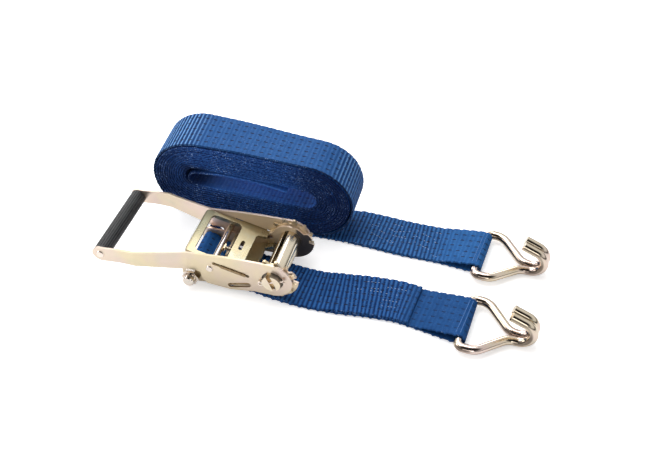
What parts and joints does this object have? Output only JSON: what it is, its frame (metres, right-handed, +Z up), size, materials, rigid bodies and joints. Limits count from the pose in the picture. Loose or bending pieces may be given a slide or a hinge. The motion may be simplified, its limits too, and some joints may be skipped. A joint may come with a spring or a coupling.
{
  "type": "ratchet tie down",
  "caption": "Ratchet buckle with long gripped handle, sewn short strap and coiled long strap, each ending in a double wire hook, for lashing cargo.",
  "frame": {"origin": "middle of the webbing slot in the drum, on the drum axis and the buckle's centre plane, 30 mm above the floor", "axes": "+Z up, +Y along the drum axis away from the near side, +X from the drum towards the hooks; the handle grip is at -X"},
  "size_m": [0.4519, 0.1726, 0.103],
  "materials": {
    "zinc_plate": "yellow passivated zinc plate, satin, faintly iridescent",
    "bright_zinc": "bright zinc plated steel",
    "spring_steel": "spring wire",
    "grip_plastic": "black moulded plastic with fine ribs",
    "webbing": "woven blue polyester webbing"
  },
  "bodies": {
    "frame": {"frame_side_near": "zinc_plate", "frame_side_far": "zinc_plate", "frame_tie_plate": "zinc_plate", "anchor_bolt": "zinc_plate", "anchor_nut": "zinc_plate", "frame_pawl_spring": "spring_steel"},
    "drum": {"mandrel_half_right": "bright_zinc", "mandrel_half_left": "bright_zinc", "ratchet_wheel_near": "zinc_plate", "ratchet_wheel_far": "zinc_plate", "split_pins": "spring_steel"},
    "handle": {"handle_side_near": "zinc_plate", "handle_side_far": "zinc_plate", "handle_crossbar": "zinc_plate", "grip_rod": "zinc_plate", "handle_grip": "grip_plastic", "handle_pawl_spring": "spring_steel", "handle_spring_seat": "spring_steel"},
    "handle_pawl": {"handle_pawl": "zinc_plate"},
    "frame_pawl": {"frame_pawl": "zinc_plate"},
    "short_strap": {"short_webbing": "webbing"},
    "short_hook": {"short_hook": "bright_zinc"},
    "long_strap": {"long_webbing": "webbing"},
    "long_hook": {"long_hook": "bright_zinc"}
  },
  "joints": [
    {"name": "handle_swing", "type": "hinge", "parent": "frame", "child": "handle", "pos_m": [0, 0, 0], "axis": [0, 1, 0], "range_deg": [0, 180]},
    {"name": "drum_spin", "type": "hinge", "parent": "frame", "child": "drum", "pos_m": [0, 0, 0], "axis": [0, 1, 0], "continuous": true},
    {"name": "handle_pawl_slide", "type": "slide", "parent": "handle", "child": "handle_pawl", "axis": [-0.9707, 0, 0.2402], "range_m": [-0.0034, 0.003], "deforming": ["handle_pawl_spring"]},
    {"name": "frame_pawl_slide", "type": "slide", "parent": "frame", "child": "frame_pawl", "axis": [-0.9613, 0, -0.2756], "range_m": [0, 0.004], "deforming": ["frame_pawl_spring"]},
    {"name": "short_strap_swing", "type": "hinge", "parent": "frame", "child": "short_strap", "pos_m": [-0.0885, 0, -0.018], "axis": [0, 1, 0], "range_deg": [0, 180]},
    {"name": "short_hook_swing", "type": "hinge", "parent": "short_strap", "child": "short_hook", "pos_m": [0.1905, -0.0168, -0.0227], "axis": [0.0872, 0.9962, 0], "range_deg": [-80, 80]},
    {"name": "long_strap_lift", "type": "slide", "parent": "frame", "child": "long_strap", "axis": [0, 1, 0], "range_m": [0, 0.15]},
    {"name": "long_hook_swing", "type": "hinge", "parent": "long_strap", "child": "long_hook", "pos_m": [0.1923, 0.082, -0.0227], "axis": [0.1045, 0.9945, 0], "range_deg": [-80, 80]}
  ]
}
